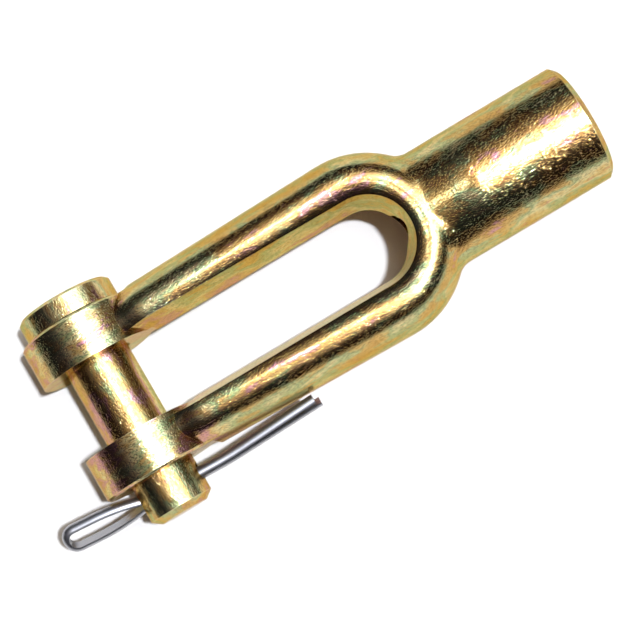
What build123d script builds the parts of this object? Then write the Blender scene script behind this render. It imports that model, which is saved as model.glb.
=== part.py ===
from build123d import *

"""Clevis rod end: a forged fork with a threaded shank, its headed pin and its split pin.

Millimetres. X runs along the shank, away from the fork. Y runs along the clevis pin, towards
its head. Z is up. The origin is where the pin's axis crosses the shank's axis.
"""
import os
from math import atan2, cos, degrees, pi, radians, sin, sqrt, tan

os.makedirs("parts", exist_ok=True)

# Clevis pin: a half-inch pin with a turned head and a chamfered tail
pin_diameter = 12.7
pin_head_diameter = 19.1
pin_head_thickness = 4.55
pin_head_edge = 0.55
pin_head_back_edge = 0.3
pin_end_float = 0.15
pin_tail_length = 8.45
pin_tip_length = 1.25
pin_tip_depth = 1.65
pin_bore_clearance = 0.075

# Cross hole in the pin's tail
cotter_hole_diameter = 3.97
cotter_hole_spacing = 3.35

# Split pin, folded from one length of half-round wire
wire_radius = 1.25
leg_gap = 0.08
leg_length = 31.2
leg_difference = 0.9
leg_bow_length = 12.0
leg_bow = 0.62
tip_rise = 0.25
tip_spread = 0.5
eye_start = 4.6
eye_shoulder = 11.0
eye_reach = 22.4
eye_opening = 3.3
eye_tip_flat = 0.15
eye_shoulder_rise = 0.45
eye_tip_rise = 1.3
eye_roll = 30.0
shoulder_bend = 38.0
start_bend = 5.0
leg_bend = 60.0

# Eyes of the fork, faced inside and out
eye_diameter = 22.7
eye_thickness = 8.5
eye_rim = 0.4
bore_rim = 0.4
jaw_gap = 15.5
facing_clearance = 1.15
facing_allowance = 0.9

# Arms and bow: one tall oval section all the way round, cut by a slot with drafted walls
throat_centre = 54.3
throat_waist_radius = 7.25
wall_draft = 10.65
fork_width = 36.4
arm_lean = 1.42
oval_width = 12.4
crown_radius = 4.4
crown_height = 9.8
bow_setback = 0.5
neck_height = 8.3
neck_overlap = 1.5
neck_length = 5.5
loft_steps = 8

# Shank, with its shoulder where it grows out of the bow
shank_diameter = 23.6
shank_end = 100.7
shank_edge = 1.0
shoulder_lead = 0.35
shoulder_drop = 0.2
shoulder_length = 12.0
shoulder_fillet = 4.0

# Thread 5/8-18 UNF, bored at its minor diameter, and the pilot hole that breaks into the throat
inch = 25.4
thread_major_diameter = 15.875
threads_per_inch = 18
thread_depth_in_pitches = 1.0825
thread_mouth = 0.6
bore_depth = 36.5
pilot_diameter = 6.35
drill_point_angle = 118.0

# Places and sizes that follow from those above
eye_radius = eye_diameter / 2
eye_inner = jaw_gap / 2
eye_outer = eye_inner + eye_thickness
facing_radius = eye_radius + facing_clearance
fork_half = fork_width / 2
neck_crease = sqrt(eye_radius ** 2 - neck_height ** 2)
neck_start = neck_crease - neck_overlap
neck_end = neck_crease + neck_length
oval_half = oval_width / 2
ridge_radius = fork_half - oval_half
bow_centre = throat_centre - bow_setback
outward = Vector(-sin(radians(arm_lean)), cos(radians(arm_lean)), 0)
along_arm = Vector(-outward.Y, outward.X, 0)
arm_root = Vector(bow_centre, 0, 0) + outward * ridge_radius
arm_length = (arm_root.X - neck_end) / outward.Y
neck_reach = (arm_root.X - neck_start) / outward.Y
shoulder_start = bow_centre + ridge_radius - shoulder_lead
shoulder_end = shoulder_start + shoulder_length
shank_radius = shank_diameter / 2
thread_pitch = inch / threads_per_inch
thread_radius = (thread_major_diameter - thread_depth_in_pitches * thread_pitch) / 2
pilot_radius = pilot_diameter / 2
bore_end = shank_end - bore_depth
point_start = bore_end - (thread_radius - pilot_radius) / tan(radians(drill_point_angle / 2))
pin_radius = pin_diameter / 2
head_radius = pin_head_diameter / 2
head_back = eye_outer + pin_end_float
head_front = head_back + pin_head_thickness
tail_end = -(eye_outer + pin_tail_length)
cotter_y = -(eye_outer + cotter_hole_spacing)
roll = radians(eye_roll)
flat_reach = wire_radius - eye_reach
half_gap = leg_gap / 2
half_eye = eye_opening / 2
tip_bend = half_eye - eye_tip_flat
cotter_plane = Plane(origin=(0, cotter_y, 0), x_dir=(1, 0, 0), z_dir=(0, -sin(roll), cos(roll)))


def arm_section(distance, height):
    """Tall oval square across the arm, of small arcs above and below and large ones at its sides."""
    crown_centre = height - crown_radius
    side_radius = (oval_half ** 2 + crown_centre ** 2 - crown_radius ** 2) / (2 * (oval_half - crown_radius))
    side_centre = side_radius - oval_half
    joint = degrees(atan2(crown_centre, side_centre))
    middle = arm_root + along_arm * distance
    with BuildSketch(Plane(origin=middle, x_dir=outward, z_dir=along_arm)) as section:
        with BuildLine():
            for side, start in ((1, 0), (-1, 180)):
                CenterArc((-side * side_centre, 0), side_radius, start - joint, 2 * joint)
                CenterArc((0, side * crown_centre), crown_radius, start + joint, 180 - 2 * joint)
        make_face()
    return section.sketch


def slot_section(side):
    """Half of the slot cut square across, narrowest at mid-height, where its drafted walls meet."""
    rim = throat_waist_radius + crown_height * tan(radians(wall_draft))
    with BuildSketch(Plane.YZ.offset(throat_centre)) as section:
        with BuildLine():
            Polyline(
                (0, crown_height), (side * rim, crown_height), (side * throat_waist_radius, 0),
                (side * rim, -crown_height), (0, -crown_height), close=True,
            )
        make_face()
    return section.sketch


def eased(start, end, share):
    """Value that leaves the start and reaches the end without a corner at either."""
    return start + (end - start) * (1 - cos(pi * share)) / 2


def neck_section(step):
    """Section of the arm where it rises from the low neck beside the eye."""
    share = step / loft_steps
    distance = neck_reach + (arm_length - neck_reach) * share
    return arm_section(distance, eased(neck_height, crown_height, share))


def shoulder_section(step):
    """Oval section of the shank's shoulder, easing from about the crown's height to a full circle."""
    share = step / loft_steps
    with BuildSketch(Plane.YZ.offset(shoulder_start + (shoulder_end - shoulder_start) * share)) as section:
        Ellipse(shank_radius, eased(crown_height - shoulder_drop, shank_radius, share))
    return section.sketch


with BuildPart() as yoke:
    # One arm, leaning in from the bow to the neck beside the eye, and its mirror image
    extrude(arm_section(0, crown_height), amount=arm_length)
    loft([neck_section(step).face() for step in range(loft_steps + 1)])
    mirror(about=Plane.XZ)

    # Bow: the arm's oval carried round to the other arm
    bow_axis = Axis((bow_centre, 0, 0), (0, 0, -1))
    revolve(arm_section(0, crown_height), axis=bow_axis, revolution_arc=180 + 2 * arm_lean)

    # Slot between the arms, with straight walls and a round throat
    for side in (1, -1):
        extrude(slot_section(side), amount=-throat_centre, mode=Mode.SUBTRACT)
    throat_axis = Axis((throat_centre, 0, 0), (0, 0, -1))
    revolve(slot_section(1), axis=throat_axis, revolution_arc=180, mode=Mode.SUBTRACT)

    # Shank, and its shoulder, which is nearly as low as the arms' crown where it leaves the bow
    with BuildSketch(Plane.YZ.offset(shoulder_end)):
        Circle(shank_radius)
    extrude(amount=shank_end - shoulder_end)
    loft([shoulder_section(step).face() for step in range(loft_steps + 1)])
    fillet(yoke.edges(Select.LAST).filter_by(GeomType.BSPLINE).sort_by(SortBy.LENGTH)[-1], shoulder_fillet)

    # Eye bosses, forged a little thicker than their finished faces
    for side in (1, -1):
        with BuildSketch(Plane.XZ.offset(-side * (eye_inner - facing_allowance))):
            Circle(eye_radius)
        extrude(amount=-side * (eye_thickness + 2 * facing_allowance))

    # Faces of the eyes, cut by a round cutter that runs on into the arms
    with BuildSketch(Plane.XZ.offset(-eye_inner)):
        Circle(facing_radius)
    extrude(amount=jaw_gap, mode=Mode.SUBTRACT)
    for side in (1, -1):
        with BuildSketch(Plane.XZ.offset(-side * eye_outer)):
            Circle(facing_radius)
        extrude(amount=-side * 2 * facing_allowance, mode=Mode.SUBTRACT)
    rims = yoke.edges().filter_by(GeomType.CIRCLE).filter_by(lambda e: e.center().X < 0)
    chamfer(rims.filter_by(lambda e: abs(e.center().Y) > eye_inner + eye_thickness / 2), eye_rim)

    # Pin bore through both eyes
    with BuildSketch(Plane.XZ.offset(-fork_half)):
        Circle(pin_radius + pin_bore_clearance)
    extrude(amount=2 * fork_half, mode=Mode.SUBTRACT)
    chamfer(yoke.edges(Select.LAST).filter_by(GeomType.CIRCLE), bore_rim)

    # Shank end, threaded bore with its drill point, and the pilot hole into the throat
    chamfer(yoke.edges().filter_by(GeomType.CIRCLE).sort_by(Axis.X)[-1], shank_edge)
    with BuildSketch(Plane.XZ):
        with BuildLine():
            Polyline(
                (throat_centre, 0), (throat_centre, pilot_radius), (point_start, pilot_radius),
                (bore_end, thread_radius), (shank_end - thread_mouth, thread_radius),
                (shank_end, thread_radius + thread_mouth), (shank_end, 0), close=True,
            )
        make_face()
    revolve(axis=Axis.X, mode=Mode.SUBTRACT)

yoke.part.label = "yoke"
export_step(yoke.part, "parts/yoke.step")


with BuildPart() as clevis_pin:
    # Pin and head turned in one piece
    with BuildSketch(Plane.XY):
        with BuildLine():
            Polyline(
                (0, tail_end), (pin_radius - pin_tip_depth, tail_end),
                (pin_radius, tail_end + pin_tip_length), (pin_radius, head_back),
                (head_radius - pin_head_back_edge, head_back),
                (head_radius, head_back + pin_head_back_edge),
                (head_radius, head_front - pin_head_edge),
                (head_radius - pin_head_edge, head_front), (0, head_front), close=True,
            )
        make_face()
    revolve(axis=Axis.Y)

    # Cross hole for the split pin
    with BuildSketch(Plane.YZ.offset(-pin_radius)):
        with Locations((cotter_y, 0)):
            Circle(cotter_hole_diameter / 2)
    extrude(amount=pin_diameter, mode=Mode.SUBTRACT)

clevis_pin.part.label = "clevis_pin"
export_step(clevis_pin.part, "parts/clevis_pin.step")


with BuildPart() as cotter_pin:
    # The wire's flat face follows this line: out along one leg, round the eye and back
    with BuildLine(cotter_plane):
        fold = FilletPolyline(
            (leg_length, tip_rise + tip_spread / 2),
            (leg_bow_length, half_gap - leg_bow),
            (-eye_start, half_gap),
            (-eye_shoulder, eye_shoulder_rise + half_eye),
            (flat_reach, eye_tip_rise + half_eye),
            (flat_reach, eye_tip_rise - half_eye),
            (-eye_shoulder, eye_shoulder_rise - half_eye),
            (-eye_start, -half_gap),
            (leg_bow_length, -half_gap - leg_bow),
            (leg_length + leg_difference, tip_rise - tip_spread / 2),
            radius=(
                leg_bend, start_bend, shoulder_bend, tip_bend,
                tip_bend, shoulder_bend, start_bend, leg_bend,
            ),
        )
    with BuildSketch(Plane(origin=fold @ 0, x_dir=cotter_plane.z_dir, z_dir=fold % 0)):
        with BuildLine():
            back = CenterArc((0, 0), wire_radius, 0, 180)
            Line(back @ 0, back @ 1)
        make_face()
    sweep(path=fold)

cotter_pin.part.label = "cotter_pin"
export_step(cotter_pin.part, "parts/cotter_pin.step")
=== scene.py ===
import bpy
from bpy.props import FloatProperty, FloatVectorProperty, PointerProperty
from bpy.types import Operator, Panel, PropertyGroup
from math import radians, tan
from mathutils import Matrix, Vector


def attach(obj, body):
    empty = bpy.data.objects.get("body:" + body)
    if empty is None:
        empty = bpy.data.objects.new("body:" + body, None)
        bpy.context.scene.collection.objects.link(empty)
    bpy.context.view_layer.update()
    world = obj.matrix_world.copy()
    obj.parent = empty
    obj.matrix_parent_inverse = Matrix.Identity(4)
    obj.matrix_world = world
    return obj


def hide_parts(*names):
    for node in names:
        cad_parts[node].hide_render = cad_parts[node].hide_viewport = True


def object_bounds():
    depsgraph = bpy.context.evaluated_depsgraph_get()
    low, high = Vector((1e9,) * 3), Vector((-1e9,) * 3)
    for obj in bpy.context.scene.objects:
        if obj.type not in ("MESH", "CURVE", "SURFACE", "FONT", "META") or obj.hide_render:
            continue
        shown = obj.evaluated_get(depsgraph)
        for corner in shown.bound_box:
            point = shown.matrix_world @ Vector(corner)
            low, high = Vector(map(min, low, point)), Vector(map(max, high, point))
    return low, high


bl_info = {
    "name": "Clevis rod end",
    "version": (1, 0, 0),
    "blender": (4, 5, 0),
    "location": "3D View > Sidebar > Rod end",
    "description": "Finishes for a forged clevis rod end with its pin and split pin",
    "category": "Object",
}

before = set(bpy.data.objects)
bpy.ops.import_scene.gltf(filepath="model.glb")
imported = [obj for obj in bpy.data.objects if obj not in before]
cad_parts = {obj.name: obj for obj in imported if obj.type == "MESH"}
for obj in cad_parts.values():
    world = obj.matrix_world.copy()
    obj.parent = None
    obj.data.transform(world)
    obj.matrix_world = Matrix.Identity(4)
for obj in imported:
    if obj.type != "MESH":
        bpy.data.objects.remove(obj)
BARE_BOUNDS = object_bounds()

MM = 0.001

# The camera stands about this high over the pin's axis. The crossing of the pin's and the
# shank's axes then lies this deep in front of the lens.
CAMERA_HEIGHT = 315.5 * MM
CAMERA_DEPTH = 317.761 * MM


def linear(code):
    """Linear RGBA of an sRGB hex colour."""
    parts = [int(code[i:i + 2], 16) / 255 for i in (1, 3, 5)]
    return [c / 12.92 if c <= 0.04045 else ((c + 0.055) / 1.055) ** 2.4 for c in parts] + [1.0]


def add_node(tree, kind, inputs=(), stops=(), **settings):
    """Adds a node with its settings, and links or fills each of the named or numbered inputs."""
    made = tree.nodes.new(kind)
    for name, value in settings.items():
        setattr(made, name, value)
    for name, value in dict(inputs).items():
        if isinstance(value, bpy.types.NodeSocket):
            tree.links.new(value, made.inputs[name])
        else:
            made.inputs[name].default_value = value
    if stops:
        ramp = made.color_ramp.elements
        ramp.remove(ramp[-1])
        ramp[0].position, ramp[0].color = stops[0]
        for place, colour in stops[1:]:
            ramp.new(place).color = colour
    return made


def fresh_material(name):
    """An empty node material."""
    material = bpy.data.materials.new(name)
    material.use_nodes = True
    material.node_tree.nodes.clear()
    return material


class RodEndFinish(PropertyGroup):
    """Colours and grain of the finishes."""

    gold: FloatVectorProperty(
        name="Chromate gold", description="Main colour of the yellow chromate",
        subtype="COLOR", size=4, min=0, max=1, default=linear("#CBAA6C"))
    straw: FloatVectorProperty(
        name="Chromate straw", description="Palest, thinnest patches of the chromate",
        subtype="COLOR", size=4, min=0, max=1, default=linear("#D6C692"))
    amber: FloatVectorProperty(
        name="Chromate amber", description="Orange patches of the chromate",
        subtype="COLOR", size=4, min=0, max=1, default=linear("#C29A5C"))
    olive: FloatVectorProperty(
        name="Chromate olive", description="Greenish patches of the chromate",
        subtype="COLOR", size=4, min=0, max=1, default=linear("#A6B080"))
    rose: FloatVectorProperty(
        name="Chromate rose", description="Pinkish patches of the chromate",
        subtype="COLOR", size=4, min=0, max=1, default=linear("#C49092"))
    # Painted shade: the dark brown laid into the sunk pits of the grain
    pit_shade: FloatVectorProperty(
        name="Chromate umber", description="Brown of the pits",
        subtype="COLOR", size=4, min=0, max=1, default=linear("#2E2114"))
    # Painted highlight: the pale gold laid along sharp edges, standing in for their glint
    edge_highlight: FloatVectorProperty(
        name="Rubbed edge", description="Pale gold of edges where the chromate has worn thin",
        subtype="COLOR", size=4, min=0, max=1, default=linear("#F2E4B4"))
    glance: FloatVectorProperty(
        name="Glancing tint", description="Colour of the chromate seen at a low angle",
        subtype="COLOR", size=4, min=0, max=1, default=linear("#D8C79A"))
    wire: FloatVectorProperty(
        name="Split pin steel", description="Colour of the drawn wire",
        subtype="COLOR", size=4, min=0, max=1, default=linear("#A6A6AA"))
    grain: FloatProperty(
        name="Forged grain", description="Width of one bump of the forged skin",
        default=0.36 * MM, min=0.05 * MM, max=3 * MM,
        subtype="DISTANCE", unit="LENGTH", precision=5)
    grain_depth: FloatProperty(
        name="Forged grain depth", description="Drawn height of the bumps of the forged skin",
        default=0.021 * MM, min=0, max=1 * MM, subtype="DISTANCE", unit="LENGTH", precision=5)
    turned_grain: FloatProperty(
        name="Turned grain", description="Width of one mark of the turned skin",
        default=0.34 * MM, min=0.05 * MM, max=3 * MM,
        subtype="DISTANCE", unit="LENGTH", precision=5)
    turned_depth: FloatProperty(
        name="Turned grain depth", description="Drawn height of the marks of the turned skin",
        default=0.0175 * MM, min=0, max=1 * MM, subtype="DISTANCE", unit="LENGTH", precision=5)


class RodEndThread(PropertyGroup):
    """Sizes of the 5/8-18 UNF thread in the shank."""

    start: FloatProperty(
        name="Thread start", description="Distance from the pin's axis to where the tap stopped",
        default=67.5 * MM, min=0, max=1, subtype="DISTANCE", unit="LENGTH", precision=5)
    end: FloatProperty(
        name="Thread end",
        description="Distance from the pin's axis to the chamfer at the bore's mouth",
        default=100.1 * MM, min=0, max=1, subtype="DISTANCE", unit="LENGTH", precision=5)
    bore: FloatProperty(
        name="Minor radius", description="Radius of the crests of the thread",
        default=7.1737 * MM, min=0, max=1, subtype="DISTANCE", unit="LENGTH", precision=5)
    root: FloatProperty(
        name="Major radius", description="Radius of the roots of the thread",
        default=7.9375 * MM, min=0, max=1, subtype="DISTANCE", unit="LENGTH", precision=5)
    pitch: FloatProperty(
        name="Pitch", description="Advance of the thread in one turn",
        default=25.4 / 18 * MM, min=0.1 * MM, max=10 * MM,
        subtype="DISTANCE", unit="LENGTH", precision=5)


class RodEndCamera(PropertyGroup):
    """Place of the camera."""

    height: FloatProperty(
        name="Height", description="Height of the camera over the pin's axis, roughly",
        default=CAMERA_HEIGHT, min=0.05, max=2, subtype="DISTANCE", unit="LENGTH")


def chromate(name, finish, grain, depth, lay, tint, banding, zone, pitting):
    """Yellow zinc chromate on steel: a bright metal skin whose film glints gold, rose and olive.

    Grain and depth are the width and height of its marks, and the lay stretches them along X, Y
    and Z. The colour starts from the tint. It changes with the height by the banding, as the film
    ran down while it dried, and shifts over the zone: an axis, the two distances from the middle
    between which the shift grows, and the shift. Pitting is how much of the colour the pits keep
    under the painted shade laid into them.
    """
    material = fresh_material(name)
    tree = material.node_tree
    place = add_node(tree, "ShaderNodeTexCoord").outputs["Object"]
    laid = add_node(tree, "ShaderNodeMapping", {"Vector": place, "Scale": lay}).outputs["Vector"]
    split = add_node(tree, "ShaderNodeSeparateXYZ", {"Vector": place})
    axis, near, far, shift = zone
    off = add_node(tree, "ShaderNodeMath", {
        0: split.outputs[axis]}, operation="ABSOLUTE").outputs[0]
    shifted = add_node(tree, "ShaderNodeMapRange", {
        "Value": off, "From Min": near, "From Max": far, "To Min": tint,
        "To Max": tint + shift}, interpolation_type="SMOOTHSTEP").outputs["Result"]
    run = add_node(tree, "ShaderNodeMath", {
        0: split.outputs["Z"], 1: banding, 2: shifted}, operation="MULTIPLY_ADD").outputs[0]
    # Film thicker or thinner over clouds 4 mm wide, with 1.2 mm mottling and 0.3 mm flecks in them
    for width, share in ((4 * MM, 1.7), (1.2 * MM, 0.5), (0.3 * MM, 0.25)):
        cloud = add_node(tree, "ShaderNodeTexNoise", {
            "Vector": laid, "Scale": 1 / width, "Detail": 2.0, "Distortion": 0.4}).outputs["Fac"]
        run = add_node(tree, "ShaderNodeMath", {
            0: cloud, 1: share, 2: run}, operation="MULTIPLY_ADD").outputs[0]
    cycle = add_node(tree, "ShaderNodeMath", {0: run}, operation="FRACT").outputs[0]
    colour = add_node(tree, "ShaderNodeValToRGB", {"Fac": cycle}, stops=[
        (0.00, finish.gold), (0.20, finish.amber), (0.36, finish.rose), (0.50, finish.gold),
        (0.66, finish.straw), (0.82, finish.olive), (1.00, finish.gold)]).outputs["Color"]
    # Grain: soft bumps, with fine pits sunk between them and darkened with painted shade, all drawn
    # coarse enough to show
    bumps = add_node(tree, "ShaderNodeTexNoise", {
        "Vector": laid, "Scale": 1 / grain, "Detail": 3.0, "Roughness": 0.6}).outputs["Fac"]
    pits = add_node(tree, "ShaderNodeTexNoise", {
        "Vector": laid, "Scale": 1.6 / grain, "Detail": 1.0}).outputs["Fac"]
    sunk = add_node(tree, "ShaderNodeMapRange", {
        "Value": pits, "From Min": 0.36, "From Max": 0.50,
        "To Min": 0.0, "To Max": 1.0}).outputs["Result"]
    pit_unshaded_share = add_node(tree, "ShaderNodeMath", {
        0: sunk, 1: 1 - pitting, 2: pitting}, operation="MULTIPLY_ADD").outputs[0]
    # Painted shade: the pits are darkened towards the dark pit colour
    pit_shaded = add_node(tree, "ShaderNodeMix", {
        0: pit_unshaded_share, 6: finish.pit_shade, 7: colour}, data_type="RGBA").outputs[2]
    # Painted highlight along the edges: pale where the skin turns sharply within 0.3 mm, standing
    # in for the glint of their small roundings
    rounded = add_node(tree, "ShaderNodeBevel", {"Radius": 0.3 * MM}, samples=4).outputs["Normal"]
    true = add_node(tree, "ShaderNodeNewGeometry").outputs["Normal"]
    alike = add_node(tree, "ShaderNodeVectorMath", {
        0: rounded, 1: true}, operation="DOT_PRODUCT").outputs["Value"]
    edge_highlight_share = add_node(tree, "ShaderNodeMapRange", {
        "Value": alike, "From Min": 0.98, "From Max": 0.86,
        "To Min": 0.0, "To Max": 0.85}).outputs["Result"]
    skin = add_node(tree, "ShaderNodeMix", {
        0: edge_highlight_share, 6: pit_shaded, 7: finish.edge_highlight}, data_type="RGBA").outputs[2]
    pit_share = 0.8
    relief = add_node(tree, "ShaderNodeMath", {
        0: sunk, 1: pit_share, 2: bumps}, operation="MULTIPLY_ADD").outputs[0]
    shape = add_node(tree, "ShaderNodeBump", {"Height": relief, "Strength": 1.0, "Distance": depth})
    shader = add_node(tree, "ShaderNodeBsdfPrincipled", {
        "Base Color": skin, "Metallic": 1.0, "Roughness": 0.15,
        "Specular Tint": finish.glance, "Normal": shape.outputs["Normal"]})
    add_node(tree, "ShaderNodeOutputMaterial", {"Surface": shader.outputs["BSDF"]})
    return material


def drawn_wire(name, finish):
    """Bright drawn steel wire: a smooth silvery skin with faint lines along it from the die."""
    material = fresh_material(name)
    tree = material.node_tree
    place = add_node(tree, "ShaderNodeTexCoord").outputs["Object"]
    # Real die lines are too fine to show, so these are drawn wider
    line_length, line_width = 20 / 3 * MM, 0.25 * MM
    lined = add_node(tree, "ShaderNodeMapping", {
        "Vector": place, "Scale": (1 / line_length, 1 / line_width, 1 / line_width)})
    lines = add_node(tree, "ShaderNodeTexNoise", {
        "Vector": lined.outputs["Vector"], "Scale": 1.0, "Detail": 2.0})
    shape = add_node(tree, "ShaderNodeBump", {
        "Height": lines.outputs["Fac"], "Strength": 0.25, "Distance": 0.02 * MM})
    shader = add_node(tree, "ShaderNodeBsdfPrincipled", {
        "Base Color": finish.wire, "Metallic": 1.0, "Roughness": 0.36,
        "Normal": shape.outputs["Normal"]})
    add_node(tree, "ShaderNodeOutputMaterial", {"Surface": shader.outputs["BSDF"]})
    return material


def cover(node, material):
    """Puts a finish on every slot of a part."""
    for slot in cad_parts[node].material_slots:
        slot.material = material


class ROD_OT_forged_yoke(Operator):
    """Finishes the forged yoke in yellow zinc chromate"""

    bl_idname = "rod_end.forged_yoke"
    bl_label = "Forged yoke"

    def execute(self, context):
        finish = context.scene.rod_end_finish
        cover("yoke", chromate(
            "yellow_chromate_forged", finish, finish.grain, finish.grain_depth,
            lay=(0.4, 1, 1), tint=0.36, banding=42, zone=("X", 24 * MM, 9 * MM, -0.36),
            pitting=0.68))
        return {"FINISHED"}


class ROD_OT_tapped_bore(Operator):
    """Cuts the thread in the yoke's bore, as a copy of the yoke that stands for the plain one"""

    bl_idname = "rod_end.tapped_bore"
    bl_label = "Tapped bore"

    # Corners nearer than the grid are one. A turn of the thread has this many faces, and edges
    # up to the sharpest angle, in degrees, are shaded smooth.
    grid = 0.001 * MM
    turn_steps = 48
    sharpest = 20.8

    def execute(self, context):
        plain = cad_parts["yoke"]
        yoke = bpy.data.objects.new("forged_yoke", plain.data.copy())
        context.scene.collection.objects.link(yoke)
        ridge = self.wind_ridge(context, context.scene.rod_end_thread)
        self.pick(context, yoke)
        bpy.ops.object.mode_set(mode="EDIT")
        bpy.ops.mesh.select_all(action="SELECT")
        bpy.ops.mesh.remove_doubles(threshold=self.grid)
        bpy.ops.object.mode_set(mode="OBJECT")
        bpy.ops.object.modifier_add(type="BOOLEAN")
        cut = yoke.modifiers[-1]
        cut.operation = "DIFFERENCE"
        cut.solver = "EXACT"
        cut.object = ridge
        bpy.ops.object.modifier_apply(modifier=cut.name)
        bpy.data.objects.remove(ridge)
        bpy.ops.object.mode_set(mode="EDIT")
        bpy.ops.mesh.select_all(action="SELECT")
        bpy.ops.mesh.quads_convert_to_tris()
        bpy.ops.object.mode_set(mode="OBJECT")
        self.keep_normals(yoke, plain)
        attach(yoke, "yoke")
        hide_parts("yoke")
        return {"FINISHED"}

    def pick(self, context, made):
        """Selects one object alone."""
        bpy.ops.object.select_all(action="DESELECT")
        made.select_set(True)
        context.view_layer.objects.active = made

    def wind_ridge(self, context, sizes):
        """What the tap takes out: a 60 degree ridge wound along the bore, closed at its ends."""
        slope = tan(radians(60 / 2))
        # The ridge's foot stands inside the bore by this much, for a clean cut
        sink = 0.2 * MM
        top = sizes.pitch / 16
        foot = top + (sizes.root - sizes.bore + sink) * slope
        outline = ((-foot, sizes.bore - sink), (-top, sizes.root),
                   (top, sizes.root), (foot, sizes.bore - sink))
        mesh = bpy.data.meshes.new("ridge")
        mesh.from_pydata([(sizes.start + along, 0, radius) for along, radius in outline],
                         [(i, (i + 1) % 4) for i in range(4)], [])
        ridge = bpy.data.objects.new("ridge", mesh)
        context.scene.collection.objects.link(ridge)
        self.pick(context, ridge)
        bpy.ops.object.modifier_add(type="SCREW")
        wind = ridge.modifiers[-1]
        wind.axis = "X"
        wind.steps = wind.render_steps = self.turn_steps
        wind.screw_offset = sizes.pitch
        wind.iterations = int((sizes.end - sizes.start) / sizes.pitch) + 2
        bpy.ops.object.modifier_apply(modifier=wind.name)
        bpy.ops.object.mode_set(mode="EDIT")
        bpy.ops.mesh.select_all(action="DESELECT")
        bpy.ops.mesh.select_mode(type="EDGE")
        bpy.ops.mesh.select_non_manifold()
        bpy.ops.mesh.edge_face_add()
        bpy.ops.mesh.select_all(action="SELECT")
        bpy.ops.mesh.normals_make_consistent(inside=False)
        bpy.ops.object.mode_set(mode="OBJECT")
        return ridge

    def keep_normals(self, yoke, plain):
        """Smooths the thread by angle, and keeps the plain yoke's normals on faces both have."""
        bpy.ops.object.shade_smooth_by_angle(angle=radians(self.sharpest))
        kept = dict(self.corners(plain.data))
        normals = [kept.get(mark, normal) for mark, normal in self.corners(yoke.data)]
        yoke.data.normals_split_custom_set(normals)

    def corners(self, mesh):
        """Each corner's place and its face's middle, on the grid, with the corner's normal."""
        for face in mesh.polygons:
            middle = tuple(round(c / self.grid) for c in face.center)
            for corner in face.loop_indices:
                point = mesh.vertices[mesh.loops[corner].vertex_index].co
                mark = (middle, tuple(round(c / self.grid) for c in point))
                yield mark, mesh.corner_normals[corner].vector.copy()


class ROD_OT_turned_pin(Operator):
    """Finishes the turned clevis pin in yellow zinc chromate"""

    bl_idname = "rod_end.turned_pin"
    bl_label = "Turned pin"

    def execute(self, context):
        finish = context.scene.rod_end_finish
        cover("clevis_pin", chromate(
            "yellow_chromate_turned", finish, finish.turned_grain, finish.turned_depth,
            lay=(1, 0.4, 1), tint=1.32, banding=-60, zone=("Y", 14 * MM, 17 * MM, -0.33),
            pitting=0.68))
        return {"FINISHED"}


class ROD_OT_split_pin(Operator):
    """Finishes the split pin as bright drawn wire"""

    bl_idname = "rod_end.split_pin"
    bl_label = "Split pin"

    def execute(self, context):
        cover("cotter_pin", drawn_wire("bright_drawn_wire", context.scene.rod_end_finish))
        return {"FINISHED"}


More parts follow.
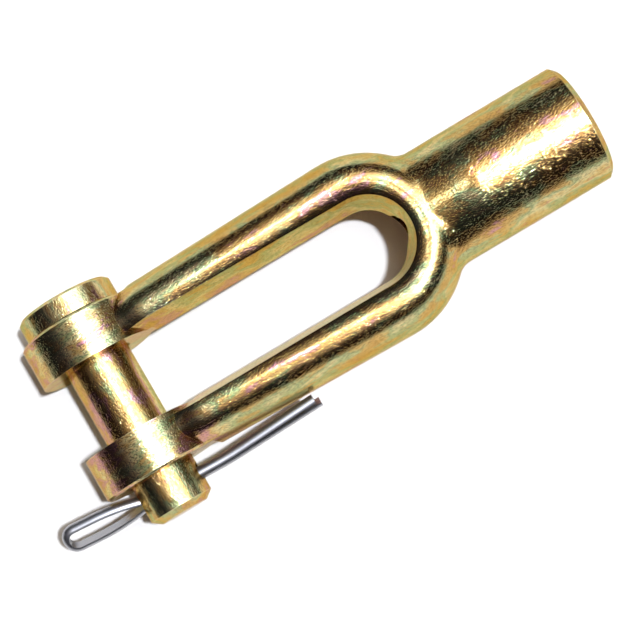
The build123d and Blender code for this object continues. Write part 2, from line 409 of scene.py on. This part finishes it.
class ROD_OT_stage(Operator):
    """Adds the floor, the studio light and the camera"""

    bl_idname = "rod_end.stage"
    bl_label = "Stage"

    # Two round lights in the sky. Each has its middle, as the X and Y of the way to it, and its
    # rings: the distance from that middle, then red, green and blue. A ramp holds colours up to
    # 1, so they go in as shares of the peak. The board share is what the board gets of the sky.
    peak = 5.0
    bright_panel = ((0.42, 0.08), (
        (0, 3.6, 4.3, 5.0), (0.24, 3.6, 4.3, 5.0), (0.31, 1.6, 1.9, 2.1),
        (0.39, 0.55, 0.58, 0.55), (0.48, 0.2, 0.17, 0.15), (0.60, 0, 0, 0)))
    wide_glow = ((0.05, 0.08), (
        (0, 0.46, 0.45, 0.43), (0.36, 0.42, 0.40, 0.38), (0.48, 0.32, 0.29, 0.28),
        (0.60, 0.155, 0.13, 0.155), (0.74, 0.052, 0.044, 0.060),
        (0.86, 0.022, 0.020, 0.028), (1.0, 0.020, 0.018, 0.022)))
    board_share = (0.66, 0.51, 0.37, 1)

    # The lens, in pixels of the picture: its focal length, the picture's side and the place of
    # the crossing of the pin's and the shank's axes. The turns take the world into the lens, in
    # radians about X, Y and Z.
    focal = 1700
    side = 635
    crossing = (118.821, 397.07)
    turns = (-0.094, -0.005, 0.536)

    def execute(self, context):
        bpy.ops.object.select_all(action="DESELECT")
        low = BARE_BOUNDS[0]
        bpy.ops.mesh.primitive_plane_add(size=4, location=(40 * MM, 0, low.z))
        floor = context.object
        floor.name = "floor"
        # Matt painted board: pale and without shine, so that only the shadows show on it
        matt = fresh_material("matt_white_board")
        tree = matt.node_tree
        shader = add_node(tree, "ShaderNodeBsdfPrincipled", {
            "Base Color": linear("#F4F4F3"), "Roughness": 0.9, "Specular IOR Level": 0.1})
        add_node(tree, "ShaderNodeOutputMaterial", {"Surface": shader.outputs["BSDF"]})
        floor.data.materials.append(matt)
        self.add_sky(context)
        self.add_lamps(context)
        self.add_camera(context)
        context.scene.view_settings.view_transform = "Standard"
        return {"FINISHED"}

    def add_sky(self, context):
        """A cool bright panel a little to the fork's right, a wide dim glow and a dark room."""
        world = bpy.data.worlds.new("studio")
        world.use_nodes = True
        world.node_tree.nodes.clear()
        context.scene.world = world
        tree = world.node_tree
        way = add_node(tree, "ShaderNodeTexCoord").outputs["Generated"]
        flat = add_node(tree, "ShaderNodeVectorMath", {
            0: way, 1: (1, 1, 0)}, operation="MULTIPLY").outputs["Vector"]
        glows = []
        for middle, rings in (self.bright_panel, self.wide_glow):
            away = add_node(tree, "ShaderNodeVectorMath", {
                0: flat, 1: (*middle, 0)}, operation="DISTANCE").outputs["Value"]
            glows.append(add_node(tree, "ShaderNodeValToRGB", {"Fac": away}, stops=[
                (place, (*(part / self.peak for part in tone), 1))
                for place, *tone in rings]).outputs["Color"])
        light = add_node(tree, "ShaderNodeMix", {
            0: 1.0, 6: glows[0], 7: glows[1]}, data_type="RGBA", blend_type="ADD").outputs[2]
        # The board gets a dimmer, warmer sky than the metal mirrors, so the shadows stay deep
        spread = add_node(tree, "ShaderNodeLightPath").outputs["Is Diffuse Ray"]
        shade = add_node(tree, "ShaderNodeMix", {
            0: spread, 6: (1, 1, 1, 1), 7: self.board_share}, data_type="RGBA").outputs[2]
        light = add_node(tree, "ShaderNodeMix", {
            0: 1.0, 6: light, 7: shade}, data_type="RGBA", blend_type="MULTIPLY").outputs[2]
        glow = add_node(tree, "ShaderNodeBackground", {"Color": light, "Strength": self.peak})
        add_node(tree, "ShaderNodeOutputWorld", {"Surface": glow.outputs["Background"]})

    def add_lamps(self, context):
        """A sun that throws the shadows, and a small card close over the fork."""
        lamp = bpy.data.lights.new("key", "SUN")
        lamp.energy = 3.1
        lamp.angle = 0.05
        lamp.color = (0.97, 1.0, 1.07)
        key = bpy.data.objects.new("key", lamp)
        context.scene.collection.objects.link(key)
        key.rotation_euler = Vector((0.25, -0.11, 1)).to_track_quat("Z", "Y").to_euler()
        # The card is for the metal alone: it brightens the slope between shank and fork
        card = bpy.data.lights.new("card", "AREA")
        card.shape = "RECTANGLE"
        card.size = 40 * MM
        card.size_y = 22 * MM
        card.energy = 0.017
        card.color = (0.86, 1.0, 1.15)
        near = bpy.data.objects.new("card", card)
        context.scene.collection.objects.link(near)
        near.location = (36 * MM, 12 * MM, 120 * MM)
        near.visible_camera = False
        near.visible_diffuse = False

    def add_camera(self, context):
        """A long lens high over the fork."""
        lens = bpy.data.cameras.new("camera")
        lens.sensor_width = 36
        lens.lens = lens.sensor_width * self.focal / self.side
        lens.clip_start = 10 * MM
        eye = bpy.data.objects.new("camera", lens)
        context.scene.collection.objects.link(eye)
        about_x, about_y, about_z = self.turns
        turn = (Matrix.Rotation(about_z, 3, "Z") @ Matrix.Rotation(about_x, 3, "X")
                @ Matrix.Rotation(about_y, 3, "Y"))
        back = turn.transposed()
        depth = context.scene.rod_end_camera.height / CAMERA_HEIGHT * CAMERA_DEPTH
        across, down = ((pixel - self.side / 2) / self.focal * depth for pixel in self.crossing)
        shift = Vector((across, -down, -depth))
        eye.matrix_world = Matrix.Translation(-(back @ shift)) @ back.to_4x4()
        context.scene.camera = eye


class ROD_PT_panel(Panel):
    """Lists the rod end's operators and their sizes and colours"""

    bl_idname = "ROD_PT_panel"
    bl_label = "Rod end"
    bl_space_type = "VIEW_3D"
    bl_region_type = "UI"
    bl_category = "Rod end"

    def draw(self, context):
        for made in OPERATORS:
            self.layout.operator(made.bl_idname)
        scene = context.scene
        for group in (scene.rod_end_finish, scene.rod_end_thread, scene.rod_end_camera):
            for name in group.__annotations__:
                self.layout.prop(group, name)


OPERATORS = (
    ROD_OT_stage, ROD_OT_forged_yoke, ROD_OT_tapped_bore, ROD_OT_turned_pin, ROD_OT_split_pin)
CLASSES = (RodEndFinish, RodEndThread, RodEndCamera, *OPERATORS, ROD_PT_panel)


def register():
    for made in CLASSES:
        bpy.utils.register_class(made)
    bpy.types.Scene.rod_end_finish = PointerProperty(type=RodEndFinish)
    bpy.types.Scene.rod_end_thread = PointerProperty(type=RodEndThread)
    bpy.types.Scene.rod_end_camera = PointerProperty(type=RodEndCamera)


def unregister():
    del bpy.types.Scene.rod_end_camera
    del bpy.types.Scene.rod_end_thread
    del bpy.types.Scene.rod_end_finish
    for made in reversed(CLASSES):
        bpy.utils.unregister_class(made)


def main():
    register()
    bpy.ops.rod_end.stage()
    bpy.ops.rod_end.forged_yoke()
    bpy.ops.rod_end.tapped_bore()
    bpy.ops.rod_end.turned_pin()
    bpy.ops.rod_end.split_pin()


if __name__ == "__main__":
    main()
